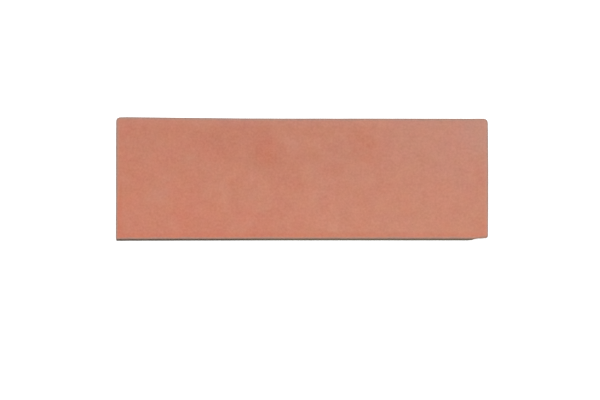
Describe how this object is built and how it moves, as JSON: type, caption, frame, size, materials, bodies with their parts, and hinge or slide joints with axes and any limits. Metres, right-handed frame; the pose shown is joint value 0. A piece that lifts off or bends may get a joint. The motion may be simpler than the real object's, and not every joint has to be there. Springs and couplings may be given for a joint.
{
  "type": "wall tile",
  "caption": "Plank-shaped fired clay wall tile with a matt salmon-pink face, rolled and slightly wavy edges, a chipped lower back corner and a waffle keyed back.",
  "frame": {"origin": "middle of the keyed back, on the plane of its ribs, which is the surface that the tile lies on", "axes": "+X along the tile's length, to the right when the face is seen; +Y across its width, upwards when the face is seen; +Z out of the face"},
  "size_m": [0.2, 0.0664, 0.009],
  "materials": {
    "fired_clay": "matt salmon-pink glaze over the face and rolled edge, bare fired clay on the sides and back"
  },
  "bodies": {
    "root": {"tile": "fired_clay"}
  },
  "joints": []
}
